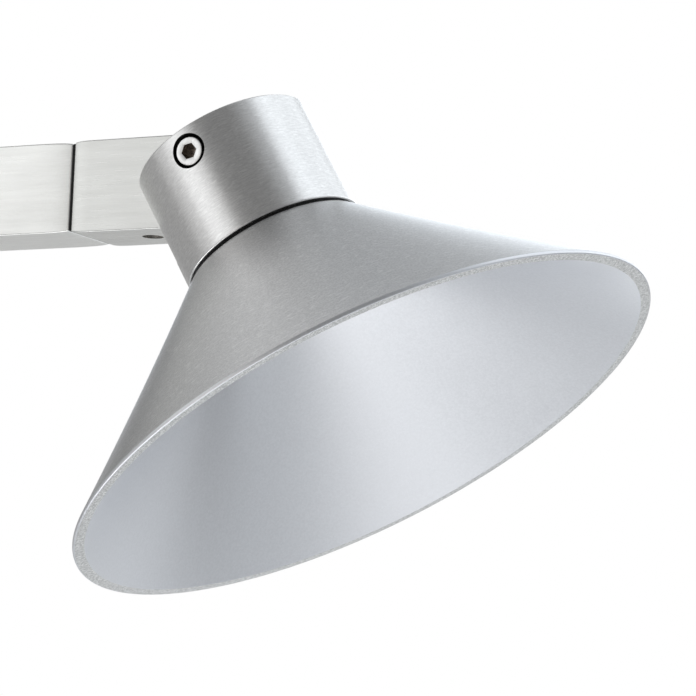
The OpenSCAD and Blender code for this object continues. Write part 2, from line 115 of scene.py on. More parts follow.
# %% Grids, outlines and profiles
def grid_faces(rows, columns, close_rows, close_columns):
    """Quads between neighbouring points of a grid whose point (i, j) has number i * columns + j. A closed
    direction joins its last line of points to its first."""
    i = np.arange(rows if close_rows else rows - 1)[:, None]
    j = np.arange(columns if close_columns else columns - 1)[None, :]
    next_i = (i + 1) % rows
    next_j = (j + 1) % columns
    quads = np.stack([i * columns + j, next_i * columns + j, next_i * columns + next_j,
                      i * columns + next_j], axis=-1)
    return quads.reshape(-1, 4)


def unit(vectors):
    """Vectors divided by their lengths."""
    return vectors / np.linalg.norm(vectors, axis=-1, keepdims=True)


def rounded(corners, radii, steps=5):
    """A closed outline with round corners. Where two sides meet at an angle, the circle that touches both
    has its centre on the bisector at radius / sin(half the angle), and the corner gives way to the arc
    between the two touching points, which lie radius / tan(half the angle) along the sides."""
    corner = np.asarray(corners, float)
    radius = np.broadcast_to(np.asarray(radii, float), len(corner))[:, None]
    back = unit(np.roll(corner, 1, axis=0) - corner)
    ahead = unit(np.roll(corner, -1, axis=0) - corner)
    half = np.arccos(np.clip((back * ahead).sum(axis=1), -1, 1))[:, None] / 2
    centre = corner + unit(back + ahead + 1e-12) * radius / np.sin(half)
    start = corner + back * radius / np.tan(half) - centre
    end = corner + ahead * radius / np.tan(half) - centre
    sweep = np.maximum(math.pi - 2 * half, 1e-6)[:, None]
    share = np.linspace(0, 1, steps + 1)[None, :, None]
    arc = np.sin((1 - share) * sweep) * start[:, None] + np.sin(share * sweep) * end[:, None]
    points = (centre[:, None] + arc / np.sin(sweep)).reshape(-1, 2)
    keep = np.linalg.norm(points - np.roll(points, 1, axis=0), axis=1) > 1e-8
    return points[keep]


def shrunk(outline, inset):
    """An outline moved inwards: each point goes along the bisector of its two sides' normals, so that both
    sides move by the inset."""
    side = unit(np.roll(outline, -1, axis=0) - outline)
    normal = np.stack([-side[:, 1], side[:, 0]], axis=1)
    before = np.roll(normal, 1, axis=0)
    both = (normal + before) / (1 + (normal * before).sum(axis=1, keepdims=True))
    after = np.roll(outline, -1, axis=0)
    area = (outline[:, 0] * after[:, 1] - outline[:, 1] * after[:, 0]).sum()
    return outline + both * inset * (1 if area > 0 else -1)


def turned(profile, turns):
    """A closed (radius, height) profile carried round the Z axis: x = r cos a, y = r sin a, z = h."""
    angle = np.linspace(0, 2 * math.pi, turns, endpoint=False)[:, None]
    radius, height = profile[None, :, 0], profile[None, :, 1]
    points = np.stack([radius * np.cos(angle), radius * np.sin(angle), height + 0 * angle], axis=-1)
    return points.reshape(-1, 3), grid_faces(turns, len(profile), True, True).tolist()


def quarter_round(edge, steps):
    """A quarter circle from an end face to a side: inset = edge (1 - sin t) at depth edge (1 - cos t)."""
    t = np.linspace(0, math.pi / 2, steps + 1)
    return edge * (1 - np.sin(t)), edge * (1 - np.cos(t))


def stacked(outline, insets, heights):
    """Copies of an outline, each shrunk by an inset and put at a height, joined into one closed skin."""
    count = len(outline)
    rings = np.stack([np.column_stack([shrunk(outline, inset), np.full(count, height)])
                      for inset, height in zip(insets, heights)])
    faces = grid_faces(len(insets), count, False, True).tolist()
    faces += [list(range(count)), list(range((len(insets) - 1) * count, len(insets) * count))]
    return rings.reshape(-1, 3), faces


def extruded(outline, start, end, edge=0, steps=1):
    """An outline carried from start to end along the third axis. Over the first and last stretch it is
    shrunk along a quarter circle, which rounds both end edges."""
    inset, depth = quarter_round(edge, steps)
    insets = np.concatenate([inset, inset[::-1]])
    return stacked(outline, insets, np.concatenate([start + depth, end - depth[::-1]]))


def rectangle(width, height):
    """Four corners of a centred rectangle."""
    return np.array([[-1, -1], [1, -1], [1, 1], [-1, 1]]) * np.array([width, height]) / 2


def hexagon(across_flats):
    """Six corners of a regular hexagon: each is its width across flats / sqrt(3) from the middle."""
    angle = np.radians(np.arange(30, 390, 60))
    return across_flats / math.sqrt(3) * np.column_stack([np.cos(angle), np.sin(angle)])


# %% [markdown]
# ## From arrays to pieces
# A piece is a mesh object at the origin whose points already lie in the shared frame. A drilled hole or a
# milled slot is cut with an exact boolean, as the workshop would cut it, and the fresh edges get a small
# bevel. Weighted normals keep the flat faces flat in the light while the rounded edges shade smoothly into
# them.

# %% Making, cutting and softening
def to_object(name, points, faces):
    """A mesh object with doubled points merged and, where it is closed, its faces pointing outwards."""
    mesh = bpy.data.meshes.new(name)
    mesh.from_pydata(np.asarray(points).tolist(), [], faces)
    work = bmesh.new()
    work.from_mesh(mesh)
    bmesh.ops.remove_doubles(work, verts=work.verts, dist=1e-7)
    bmesh.ops.recalc_face_normals(work, faces=work.faces)
    work.to_mesh(mesh)
    work.free()
    piece = bpy.data.objects.new(name, mesh)
    bpy.context.scene.collection.objects.link(piece)
    return piece


def apply_modifiers(piece):
    """The piece's mesh becomes what its modifiers make of it."""
    bpy.context.view_layer.update()
    evaluated = piece.evaluated_get(bpy.context.evaluated_depsgraph_get())
    mesh = bpy.data.meshes.new_from_object(evaluated)
    piece.modifiers.clear()
    piece.data = mesh


def cut(piece, *cutters):
    """Takes each cutter's volume out of the piece, and removes the cutter."""
    for cutter in cutters:
        step = piece.modifiers.new("cut", "BOOLEAN")
        step.operation = "DIFFERENCE"
        step.solver = "EXACT"
        step.object = cutter
        apply_modifiers(piece)
        bpy.data.objects.remove(cutter)


def soften(piece, width):
    """Bevels every sharp edge."""
    bevel = piece.modifiers.new("edges", "BEVEL")
    bevel.width = width
    bevel.segments = 2
    bevel.limit_method = "ANGLE"
    bevel.angle_limit = math.radians(35)
    bevel.miter_outer = "MITER_ARC"
    apply_modifiers(piece)


def shade_smooth(piece):
    """Smooth shading that breaks at sharp edges, weighted by face size."""
    piece.data.shade_smooth()
    piece.data.set_sharp_from_angle(angle=math.radians(38))
    weighted = piece.modifiers.new("normals", "WEIGHTED_NORMAL")
    weighted.keep_sharp = True
    apply_modifiers(piece)


def finish_piece(piece, body, slot, node, *materials):
    """Gives the piece its materials and its body, and lets it stand for a CAD node. The slot is not used."""
    shade_smooth(piece)
    for one in materials:
        piece.data.materials.append(one)
    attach(piece, body)
    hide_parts(node)
    print(piece.name, len(piece.data.polygons), "faces")


def set_region(piece, index, chosen):
    """The faces whose centres pass a test on x, y and z in the head's own frame take a material."""
    count = len(piece.data.polygons)
    centres = np.empty(count * 3)
    piece.data.polygons.foreach_get("center", centres)
    materials = np.empty(count, np.int32)
    piece.data.polygons.foreach_get("material_index", materials)
    materials[chosen(*((centres.reshape(-1, 3) - pivot) @ head_axes.T).T)] = index
    piece.data.polygons.foreach_set("material_index", materials)


def rod_cutter(place, direction, radius, length, turns=96):
    """A plain round cutter from a place along a direction."""
    profile = np.array([[0, 0], [radius, 0], [radius, length], [0, length]])
    points, faces = turned(profile, turns)
    turn = np.array(Vector(direction).to_track_quat("Z", "Y").to_matrix())
    return to_object("cutter", points @ turn.T + np.asarray(place), faces)


def join(name, parts):
    """Several mesh objects as one piece."""
    work = bmesh.new()
    for part in parts:
        work.from_mesh(part.data)
    mesh = bpy.data.meshes.new(name)
    work.to_mesh(mesh)
    work.free()
    for part in parts:
        bpy.data.objects.remove(part)
    piece = bpy.data.objects.new(name, mesh)
    bpy.context.scene.collection.objects.link(piece)
    return piece


# %% [markdown]
# ## Shader groups
# The finishes share a few effects, so each effect is one node group with named inputs: `brushed grain` for
# the fine parallel scratches of an abrasive belt, `turned grain` for the short ones that a lathe leaves
# round an axis, `blasted speckle` for the sparkle of a surface shot with glass beads, and `handling` for
# the soft changes that keep a large surface from looking computed.

# %% Node helpers
def new_group(name, inputs, outputs):
    """A new shader group with its sockets: each input is (name, type, value), each output (name, type)."""
    group = bpy.data.node_groups.new(name, "ShaderNodeTree")
    for socket, kind, value in inputs:
        made = group.interface.new_socket(socket, in_out="INPUT", socket_type=kind)
        if value is not None:
            made.default_value = value
    for socket, kind in outputs:
        group.interface.new_socket(socket, in_out="OUTPUT", socket_type=kind)
    return group, group.nodes.new("NodeGroupInput"), group.nodes.new("NodeGroupOutput")


def add(tree, kind, inputs=None, **settings):
    """A node with its settings, and its inputs given as values or as sockets to link from."""
    node = tree.nodes.new(kind)
    for name, value in settings.items():
        setattr(node, name, value)
    for name, value in (inputs or {}).items():
        if isinstance(value, bpy.types.NodeSocket):
            tree.links.new(value, node.inputs[name])
        else:
            node.inputs[name].default_value = value
    return node


FLOAT, VECTOR = "NodeSocketFloat", "NodeSocketVector"


def remap(tree, value, low, high, to_low=0.0, to_high=1.0):
    """A linear change of range, clamped."""
    return add(tree, "ShaderNodeMapRange", {"Value": value, "From Min": low, "From Max": high,
                                            "To Min": to_low, "To Max": to_high}).outputs["Result"]


def math_node(tree, operation, a, b):
    """A Math node's result."""
    return add(tree, "ShaderNodeMath", {0: a, 1: b}, operation=operation).outputs[0]


def scaled(tree, value, factor):
    """A value times a factor."""
    return math_node(tree, "MULTIPLY", value, factor)


def blend(tree, a, share_a, b, share_b):
    """share_a * a + share_b * b."""
    return math_node(tree, "ADD", scaled(tree, a, share_a), scaled(tree, b, share_b))


def noise(tree, vector, scale, detail, roughness=0.5):
    """A Noise Texture's value at a vector."""
    return add(tree, "ShaderNodeTexNoise", {"Vector": vector, "Scale": scale, "Detail": detail,
                                            "Roughness": roughness}).outputs["Fac"]


def vector_node(tree, operation, a, b):
    """A Vector Math node's vector."""
    return add(tree, "ShaderNodeVectorMath", {0: a, 1: b}, operation=operation).outputs[0]


# %% Brushed grain
def brushed_grain_group():
    """Two layers of noise stretched along X by very unequal scales: fine scratches, and broader bands."""
    group, given, result = new_group(
        "brushed grain", [("Vector", VECTOR, None), ("Across", FLOAT, 4000.0), ("Along", FLOAT, 90.0)],
        [("Fine", FLOAT), ("Broad", FLOAT)])
    scale = add(group, "ShaderNodeCombineXYZ", {"X": given.outputs["Along"], "Y": given.outputs["Across"],
                                                "Z": given.outputs["Across"]})
    stretched = vector_node(group, "MULTIPLY", given.outputs["Vector"], scale.outputs[0])
    coarser = vector_node(group, "MULTIPLY", stretched, (0.5, 0.2, 0.2))
    fine = noise(group, stretched, 1.0, 3.0, 0.65)
    broad = noise(group, coarser, 1.0, 2.0)
    group.links.new(remap(group, fine, 0.32, 0.68), result.inputs["Fine"])
    group.links.new(remap(group, broad, 0.3, 0.7), result.inputs["Broad"])
    return group


# %% Turned grain
nominal_radius = 0.02


def turned_grain_group():
    """Scratches left round an axis. The place round the axis is read as a unit vector, (x, y) / radius,
    which has no seam, times a nominal radius; the place along the profile is height less radius, so that
    flat end faces get rings and a cone that widens downwards still changes along its side. Noise on these
    three numbers is long round the axis and fine along the profile, and its highest peaks are single
    marks."""
    group, given, result = new_group(
        "turned grain", [("Vector", VECTOR, None), ("Across", FLOAT, 4000.0), ("Round", FLOAT, 300.0)],
        [("Fine", FLOAT), ("Marks", FLOAT)])
    split = add(group, "ShaderNodeSeparateXYZ", {"Vector": given.outputs["Vector"]})
    flat = add(group, "ShaderNodeCombineXYZ", {"X": split.outputs["X"], "Y": split.outputs["Y"], "Z": 0.0})
    radius = add(group, "ShaderNodeVectorMath", {0: flat.outputs[0]}, operation="LENGTH").outputs["Value"]
    outwards = add(group, "ShaderNodeVectorMath", {0: flat.outputs[0]}, operation="NORMALIZE").outputs[0]
    reach = scaled(group, given.outputs["Round"], nominal_radius)
    around = add(group, "ShaderNodeVectorMath", {0: outwards, "Scale": reach}, operation="SCALE").outputs[0]
    profile = math_node(group, "SUBTRACT", split.outputs["Z"], radius)
    profile = scaled(group, profile, given.outputs["Across"])
    along = add(group, "ShaderNodeCombineXYZ", {"X": 0.0, "Y": 0.0, "Z": profile}).outputs[0]
    place = vector_node(group, "ADD", around, along)
    group.links.new(remap(group, noise(group, place, 1.0, 2.0), 0.34, 0.66), result.inputs["Fine"])
    group.links.new(remap(group, noise(group, place, 0.9, 0.0), 0.66, 0.74), result.inputs["Marks"])
    return group


# %% Blasted speckle and handling
def speckle_group():
    """Fine even noise at the size of the bead marks, and a finer one for single bright grains."""
    group, given, result = new_group(
        "blasted speckle", [("Vector", VECTOR, None), ("Scale", FLOAT, 2500.0)],
        [("Grain", FLOAT), ("Sparkle", FLOAT)])
    vector, scale = given.outputs["Vector"], given.outputs["Scale"]
    grain = noise(group, vector, scale, 2.0, 0.6)
    sparkle = noise(group, vector, scaled(group, scale, 1.7), 0.0)
    group.links.new(remap(group, grain, 0.36, 0.64), result.inputs["Grain"])
    group.links.new(remap(group, sparkle, 0.62, 0.8), result.inputs["Sparkle"])
    return group


def handling_group():
    """Soft broad noise: where a surface has been touched and wiped, or where a moulding ripples."""
    group, given, result = new_group("handling", [("Vector", VECTOR, None), ("Scale", FLOAT, 40.0)],
                                     [("Touch", FLOAT)])
    touch = noise(group, given.outputs["Vector"], given.outputs["Scale"], 2.0)
    group.links.new(remap(group, touch, 0.3, 0.7), result.inputs["Touch"])
    return group


brushed_grain = brushed_grain_group()
turned_grain = turned_grain_group()
blasted_speckle = speckle_group()
handling = handling_group()


# %% [markdown]
# ## Materials
# Bare aluminium is fully metallic: its colour is the tint of what it reflects, its roughness says how far
# the reflection spreads, and a very shallow bump breaks it along the scratches. Each metal starts from the
# same helper and differs in grain direction, scale and roughness. The grain reads Object coordinates,
# turned by a Mapping node so that its long direction follows the way that the part was brushed.

# %% Material helpers
def new_material(name, metallic, roughness, colour, **constants):
    """A material with a Principled shader whose constant sockets are set on the shader itself."""
    material = bpy.data.materials.new(name)
    material.use_nodes = True
    shader = material.node_tree.nodes["Principled BSDF"]
    shader.inputs["Metallic"].default_value = metallic
    shader.inputs["Roughness"].default_value = roughness
    shader.inputs["Base Color"].default_value = (*colour, 1)
    for socket, value in constants.items():
        shader.inputs[socket.replace("_", " ")].default_value = value
    return material, material.node_tree, shader


def object_vector(tree, turn=(0, 0, 0), centre=(0, 0, 0)):
    """Object coordinates moved so that a centre is the origin and turned by Euler angles."""
    turned_matrix = np.array(Matrix.Rotation(turn[0], 3, "X") @ Matrix.Rotation(turn[1], 3, "Y")
                             @ Matrix.Rotation(turn[2], 3, "Z"))
    shift = -(turned_matrix @ np.asarray(centre, float))
    coordinates = add(tree, "ShaderNodeTexCoord")
    mapping = add(tree, "ShaderNodeMapping", {"Vector": coordinates.outputs["Object"], "Rotation": turn,
                                              "Location": tuple(shift)})
    return mapping.outputs["Vector"]


def tinted(tree, shader, dark, light, factor):
    """Base colour between two tints."""
    mix = add(tree, "ShaderNodeMix", data_type="RGBA")
    mix.inputs[6].default_value = (*dark, 1)
    mix.inputs[7].default_value = (*light, 1)
    tree.links.new(factor, mix.inputs[0])
    tree.links.new(mix.outputs[2], shader.inputs["Base Color"])


def bumped(tree, shader, height, distance):
    """A shallow relief for the shader's normal."""
    bump = add(tree, "ShaderNodeBump", {"Height": height, "Distance": distance})
    tree.links.new(bump.outputs["Normal"], shader.inputs["Normal"])


def rough(tree, shader, spread, offset):
    """Roughness that varies: a spread that changes over the surface, plus an offset."""
    tree.links.new(math_node(tree, "ADD", spread, offset), shader.inputs["Roughness"])


def effect(tree, group, vector, **values):
    """A group placed in a material with its own values; gives its outputs."""
    node = add(tree, "ShaderNodeGroup", node_tree=group)
    tree.links.new(vector, node.inputs["Vector"])
    for name, value in values.items():
        node.inputs[name].default_value = value
    return node.outputs


# %% Brushed, turned and speckled surfaces
def brushed_metal(name, turn, centre, dark, light, roughness, across, along, depth):
    """Aluminium brushed along the X direction of its turned coordinates."""
    material, tree, shader = new_material(name, 1.0, roughness, light)
    vector = object_vector(tree, turn, centre)
    grain = effect(tree, brushed_grain, vector, Across=across, Along=along)
    touch = effect(tree, handling, vector)
    both = blend(tree, grain["Fine"], 0.6, grain["Broad"], 0.4)
    tinted(tree, shader, dark, light, both)
    rough(tree, shader, blend(tree, grain["Fine"], 0.10, touch["Touch"], 0.06), roughness - 0.08)
    bumped(tree, shader, both, depth)
    return material


def turned_metal(name, dark, light, roughness, across, around, speckle_share, depth):
    """Metal brushed while it turned on the head's axis, with sparse brighter marks and fine speckle."""
    material, tree, shader = new_material(name, 1.0, roughness, light)
    vector = object_vector(tree, (0, head_tilt, 0), pivot)
    grain = effect(tree, turned_grain, vector, Across=across, Round=around)
    speckle = effect(tree, blasted_speckle, vector)
    both = blend(tree, grain["Fine"], 1 - speckle_share, speckle["Grain"], speckle_share)
    tinted(tree, shader, dark, light, blend(tree, both, 0.8, grain["Marks"], 0.5))
    rough(tree, shader, scaled(tree, grain["Fine"], 0.02), roughness - 0.01)
    bumped(tree, shader, both, depth)
    return material


def speckled(name, dark, light, roughness, scale=900.0, depth=0.00001, metallic=0.0, shares=(1.0, 0.0)):
    """Moulded plastic, rubber, plated steel or blasted metal: an even texture in colour, gloss and relief.
    The shares say how far the grain and the single bright grains lighten the colour."""
    material, tree, shader = new_material(name, metallic, roughness, light)
    speckle = effect(tree, blasted_speckle, object_vector(tree), Scale=scale)
    paler = blend(tree, speckle["Grain"], shares[0], speckle["Sparkle"], shares[1])
    tinted(tree, shader, dark, light, paler)
    rough(tree, shader, scaled(tree, speckle["Grain"], 0.08), roughness - 0.04)
    bumped(tree, shader, speckle["Grain"], depth)
    return material


def clear_glass(name):
    """A clear lens that lets all of its light through, with a faint tint and the ripple of a moulding."""
    tint = (0.97, 0.99, 1.0)
    material, tree, shader = new_material(name, 0.0, 0.03, tint, Transmission_Weight=1.0, IOR=1.49)
    ripple = effect(tree, handling, object_vector(tree), Scale=600.0)["Touch"]
    tree.links.new(remap(tree, ripple, 0.0, 1.0, 0.02, 0.06), shader.inputs["Roughness"])
    bumped(tree, shader, ripple, 0.000004)
    return material


# %% The fixture's finishes
# Each line gives the darker and the lighter tint, the roughness, the scales of the texture per metre, and
# the depth of the relief in metres.
quarter = math.pi / 2
blasted = (0.7, 0.5)

arm_metal = brushed_metal("arm aluminium", (0, 0, 0), (0, 0, 0), (0.78, 0.785, 0.765), (0.92, 0.925, 0.905),
                          0.32, 3500, 90, 0.000005)
# The end block is the arm's aluminium made darker: painted shade, so that the block looks darker than the
# arm beside it.
shaded_block_metal = brushed_metal("end block aluminium, painted shade", (0, 0, 0), (0.1, 0.1, 0.1), (0.66, 0.665, 0.645),
                            (0.79, 0.795, 0.775), 0.32, 3500, 90, 0.000005)
stem_metal = brushed_metal("stem aluminium", (0, quarter, 0), (0, 0, 0), (0.64, 0.64, 0.63),
                           (0.86, 0.86, 0.85), 0.3, 3000, 60, 0.000008)
housing_metal = turned_metal("housing aluminium", (0.72, 0.72, 0.715), (0.93, 0.93, 0.925), 0.30, 4600, 700,
                             0.35, 0.000003)
shade_outside = turned_metal("shade outside", (0.60, 0.605, 0.61), (0.84, 0.845, 0.85), 0.37, 2000, 1600,
                             0.72, 0.000004)
shade_inside = speckled("shade inside", (0.775, 0.79, 0.82), (0.835, 0.85, 0.88), 0.42, 1700, 0.000004, 1.0,
                        blasted)
shade_rim = speckled("shade rim", (0.34, 0.34, 0.335), (0.82, 0.82, 0.81), 0.36, 2200, 0.00001, 1.0, blasted)
cover_paint = speckled("cover silver paint", (0.52, 0.52, 0.515), (0.58, 0.58, 0.575), 0.42, 1500, 0.00001,
                       0.6)
black_plastic = speckled("neck black plastic", (0.018, 0.018, 0.02), (0.035, 0.035, 0.038), 0.55, 700,
                         0.00003)
grey_plastic = speckled("knob grey plastic", (0.11, 0.11, 0.115), (0.15, 0.15, 0.155), 0.5, 800, 0.00002)
white_plastic = speckled("white plastic", (0.74, 0.74, 0.72), (0.82, 0.82, 0.80), 0.4)
ivory_plastic = speckled("ivory plastic", (0.60, 0.56, 0.46), (0.68, 0.64, 0.53), 0.45)
copper_metal = speckled("contact copper", (0.72, 0.38, 0.22), (0.86, 0.50, 0.30), 0.28, 1200, 0.000008, 1.0)
bronze_metal = speckled("bush bronze", (0.56, 0.38, 0.17), (0.68, 0.48, 0.24), 0.35, 1200, 0.000008, 1.0)
plated_steel = speckled("plated steel", (0.52, 0.52, 0.515), (0.64, 0.64, 0.63), 0.3, 1500, 0.000006, 1.0)
bright_steel = speckled("bright screw", (0.96, 0.96, 0.955), (1.0, 1.0, 0.995), 0.36, 1500, 0.000001, 1.0)
# Dark steel for the grub screw, which is blackened, and for the screw sockets' flanks and bottoms, where it
# is painted shade.
black_steel_and_socket_shade = speckled("blackened steel, painted socket shade", (0.22, 0.19, 0.165), (0.42, 0.37, 0.33), 0.28, 1500, 0.00001, 1.0)
# Near black for the counterbore walls and the screws' sides: painted shade in the gap round each pivot
# screw.
painted_gap_shade = speckled("painted gap shade", (0.004, 0.004, 0.004), (0.008, 0.008, 0.008), 0.7)
black_rubber = speckled("black gasket", (0.006, 0.006, 0.006), (0.012, 0.012, 0.012), 0.85, 900, 0.00002)
red_insulation = speckled("lead insulation", (0.30, 0.03, 0.03), (0.38, 0.05, 0.04), 0.45)
board_green = speckled("circuit board", (0.01, 0.10, 0.04), (0.02, 0.14, 0.06), 0.3, 700)
potting_grey = speckled("potted parts", (0.05, 0.05, 0.055), (0.08, 0.08, 0.085), 0.45, 700)
phosphor = speckled("phosphor", (0.80, 0.56, 0.10), (0.90, 0.68, 0.16), 0.5, 1500)
lens_glass = clear_glass("clear lens")
print(len(bpy.data.materials), "materials")

# %% [markdown]
# ## The shade
# The shade is a spun cone: a nearly straight side that curves in a little, a wall of even thickness, and a
# rim that was faced off flat on the lathe, which left a narrow land outside it. One closed profile holds
# the outside, the land, the flat rim, the inside and the floor that carries the lens. Carried round the
# head's axis it is one shell.

# %% Shade profile
# Heights are measured along the head's axis from the tilt axis.
housing_radius = 20 * mm
shade_top = -22.2 * mm
shade_height = 45 * mm
rim_z = shade_top - shade_height
rim_radius = 66.15 * mm
rim_land = 0.8 * mm
wall = 2.2 * mm
flare = 0.6 * mm
floor_thickness = 2 * mm
lens_hole = 12 * mm
shade_screw_at = 14.6 * mm
shade_screw_hole = 1.27 * mm


def side_radius(height):
    """Radius of the outer side at a height. It runs straight from neck to rim as the share goes from 0 to 1,
    less a curve of 4 * flare * share * (1 - share), which is deepest half way."""
    share = (shade_top - height) / (shade_height - rim_land)
    return housing_radius + (rim_radius - housing_radius) * share - 4 * flare * share * (1 - share)


side_slope = math.atan2(rim_radius - housing_radius, shade_height - rim_land)


def inner_radius(height):
    """The outer side moved in by the wall, measured square to the side."""
    return side_radius(height + wall * math.sin(side_slope)) - wall * math.cos(side_slope)


# %% Shade
def shade_screw_cutters(start, length):
    """Drills for the three screws that hold the shade: a third of a turn apart round the head's axis."""
    places = [on_head([shade_screw_at * math.cos(angle), shade_screw_at * math.sin(angle), start])
              for angle in np.radians([90, 210, 330])]
    return [rod_cutter(place, head_axes[2], shade_screw_hole, length, 48) for place in places]


def build_shade():
    """The shade's shell, with its outside, rim and inside as three regions of one profile."""
    land_z = rim_z + rim_land
    floor_z = shade_top - floor_thickness
    neck_edge = 0.3 * mm
    side_z = np.linspace(shade_top - neck_edge, land_z, 40)
    inside_z = np.linspace(rim_z + 0.25 * mm, floor_z, 40)
    neck = [[lens_hole, floor_z], [lens_hole, shade_top], [side_radius(shade_top) - neck_edge, shade_top]]
    outside = np.column_stack([side_radius(side_z), side_z])
    # The side, the land, the flat rim and the inside, with a point beyond each end that is then dropped
    land = rounded([[rim_radius - 3 * mm, land_z + 3 * mm], [rim_radius, land_z], [rim_radius, rim_z],
                    [inner_radius(rim_z), rim_z], [inner_radius(rim_z + 2 * mm), rim_z + 2 * mm]],
                   [0, 0.3 * mm, 0.35 * mm, 0.2 * mm, 0], 6)[1:-1]
    inside = np.column_stack([inner_radius(inside_z), inside_z])
    points, faces = turned(np.concatenate([neck, outside[:-1], land, inside[1:]]), 360)
    piece = to_object("spun_shade", on_head(points), faces)
    cut(piece, *shade_screw_cutters(floor_z - 1 * mm, floor_thickness + 2 * mm))
    finish_piece(piece, "head", "shade_aluminium", "shade", shade_outside, shade_rim, shade_inside)

    def is_inside(x, y, z):
        return (np.hypot(x, y) < (side_radius(z) + inner_radius(z)) / 2) & (z < shade_top - mm)

    def is_land(x, y, z):
        return (np.hypot(x, y) > inner_radius(rim_z) - 0.1 * mm) & (z < land_z)

    # The land is as bright as the inside, and only the flat rim itself is coarser
    set_region(piece, 2, is_inside)
    set_region(piece, 2, is_land)
    set_region(piece, 1, lambda x, y, z: z < rim_z + 0.02 * mm)


build_shade()

# %% [markdown]
# ## The housing
# The housing is a turned cylinder with a slot milled from its back, in which the end block swings. Two
# cheeks are left, and each takes a set screw in a counterbore on the tilt axis. The cylinder is turned from
# a rounded profile, and the slot, bores and pocket are cut as booleans, whose edges are then broken with a
# small bevel.

# %% Housing
housing_front = -21.4 * mm
housing_back = 5.2 * mm
slot_width = 18.8 * mm
slot_radius = 14.55 * mm
slot_floor = -14.65 * mm
slot_side = 6.55 * mm
screw_radius = 3.1 * mm
counterbore = 3.8 * mm
counterbore_floor = 16 * mm
dark_gap_end = 19.3 * mm
pocket_radius = 11.8 * mm
pocket_depth = 3.2 * mm
lead_bore = 1.6 * mm


def slot_outline():
    """The slot seen along the tilt axis: an arc round the nose, open to the arm's side and the back."""
    arc = np.radians(np.linspace(-90, math.degrees(math.acos(slot_side / slot_radius)), 40))
    round_part = slot_radius * np.column_stack([np.cos(arc), np.sin(arc)])
    round_part[:, 1] = np.maximum(round_part[:, 1], slot_floor)
    reach = 30 * mm
    return np.concatenate([[[-reach, slot_floor], [-0.1 * mm, slot_floor]], round_part,
                           [[slot_side, reach], [-reach, reach]]])


def build_housing():
    """The turned blank less slot, cross bore, counterbores, lamp pocket, lead bore and screw holes."""
    edge = 0.35 * mm
    blank = rounded([[0, housing_front], [housing_radius, housing_front], [housing_radius, housing_back],
                     [0, housing_back]], [0, edge, edge, 0], 5)
    points, faces = turned(blank, 288)
    piece = to_object("turned_housing", on_head(points), faces)
    slot_points, slot_faces = extruded(slot_outline(), -slot_width / 2, slot_width / 2)
    along_tilt, along_head = head_axes[1], head_axes[2]
    beyond = 30 * mm
    side = on_head([0, -beyond, 0])
    far_floor = on_head([0, counterbore_floor, 0])
    front = on_head([0, 0, housing_front - 1 * mm])
    cutters = [to_object("cutter", on_head(slot_points[:, [0, 2, 1]]), slot_faces),
               rod_cutter(side, along_tilt, screw_radius + 0.02 * mm, 2 * beyond),
               rod_cutter(side, along_tilt, counterbore, beyond - counterbore_floor),
               rod_cutter(far_floor, along_tilt, counterbore, beyond - counterbore_floor),
               rod_cutter(front, along_head, pocket_radius, pocket_depth + 1 * mm),
               rod_cutter(front, along_head, lead_bore, 12 * mm)]
    cutters += shade_screw_cutters(housing_front - 1 * mm, 5 * mm)
    cut(piece, *cutters)
    soften(piece, 0.18 * mm)
    finish_piece(piece, "head", "housing_aluminium", "head_housing", housing_metal, painted_gap_shade)
    # The counterbore walls take the near black: painted shade, the dark ring round the screw.
    set_region(piece, 1, lambda x, y, z: (np.hypot(x, z) < counterbore + 0.02 * mm)
               & (np.abs(y) < dark_gap_end))


build_housing()

# %% [markdown]
# ## The pivot screws
# Each is a set screw with a dog, the thinner tip that enters the bush. Its outer end has a hexagon socket
# and sits just below the housing's side. The dark ring round it is the gap in the counterbore, whose walls
# and the screw's side are painted near black: painted shade in the gap. The socket is cut with a hexagonal
# prism, and its flanks and bottom are painted dark: painted shade in the recess.

# %% Pivot screws
screw_face = 19.65 * mm
socket_flats = 3.1 * mm
socket_depth = 2.6 * mm
socket_turn = math.radians(12)
dog_radius, dog_start, dog_end = 3.0 * mm, 4 * mm, 9.7 * mm


def build_pivot_screws():
    """A turned rod with a socket, made once for each cheek: the second is the mirror image of the first."""
    profile = rounded([[0, dog_start], [dog_radius, dog_start], [dog_radius, dog_end],
                       [screw_radius, dog_end], [screw_radius, screw_face], [0, screw_face]],
                      [0, 0.3 * mm, 0, 0, 0.22 * mm, 0], 4)
    points, faces = turned(profile, 96)
    pair = []
    for side in (-1, 1):
        local = np.column_stack([points[:, 0], side * points[:, 2], points[:, 1]])
        screw = to_object("screw", on_head(local), faces)
        turn = np.array([[math.cos(socket_turn), math.sin(socket_turn)],
                         [-math.sin(socket_turn), math.cos(socket_turn)]])
        key = rounded(hexagon(socket_flats), 0.08 * mm, 2) @ turn
        socket, socket_faces = extruded(key, screw_face - socket_depth, screw_face + 2 * mm)
        socket_local = np.column_stack([socket[:, 0], side * socket[:, 2], socket[:, 1]])
        cut(screw, to_object("cutter", on_head(socket_local), socket_faces))
        soften(screw, 0.06 * mm)
        pair.append(screw)
    return join("set_screws", pair)


screws = build_pivot_screws()
finish_piece(screws, "head", "screw_bright", "pivot_screws", bright_steel, painted_gap_shade, black_steel_and_socket_shade)
# The screw's side takes the near black: painted shade in the gap round it.
set_region(screws, 1, lambda x, y, z: np.hypot(x, z) > screw_radius - 0.1 * mm)
# The socket's flanks and bottom take the dark steel: painted shade in the recess.
set_region(screws, 2, lambda x, y, z: (np.hypot(x, z) < socket_flats / 2 + 0.3 * mm)
           & (np.abs(y) < screw_face - 0.12 * mm) & (np.abs(y) > screw_face - 3 * mm))

